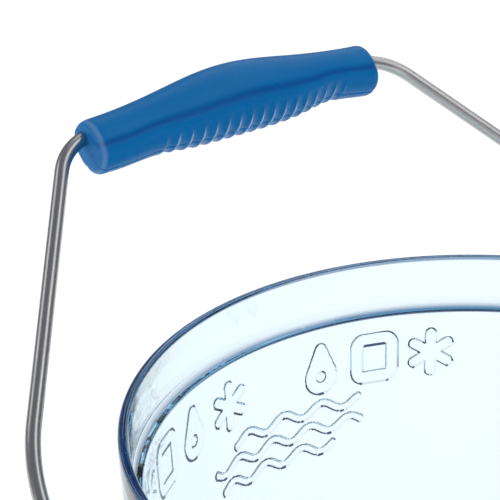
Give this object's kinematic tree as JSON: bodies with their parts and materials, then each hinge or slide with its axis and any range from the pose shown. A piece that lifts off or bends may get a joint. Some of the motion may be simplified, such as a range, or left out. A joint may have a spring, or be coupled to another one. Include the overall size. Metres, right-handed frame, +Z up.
{
  "type": "clear tote with wire bail",
  "caption": "Tall round clear plastic tote, tapered and stackable, with side ears and a swinging steel wire bail carrying a moulded two-half hand grip with finger grooves.",
  "frame": {"origin": "centre of the tote's flat underside, on its axis", "axes": "+Z up along the tote's axis; X along the bail's pivot line; the bail leans towards -Y at rest"},
  "size_m": [0.348, 0.3424, 0.4973],
  "materials": {
    "clear_polycarbonate": "clear, pale blue tint, polished",
    "steel_wire": "bright drawn wire",
    "blue_grip": "satin moulded"
  },
  "bodies": {
    "tote": {"tote_body": "clear_polycarbonate"},
    "bail": {"bail_wire": "steel_wire", "grip_front_half": "blue_grip", "grip_rear_half": "blue_grip"}
  },
  "joints": [
    {"name": "bail_swing", "type": "hinge", "parent": "tote", "child": "bail", "pos_m": [0, 0, 0.3355], "axis": [1, 0, 0], "range_deg": [-184, 84]}
  ]
}
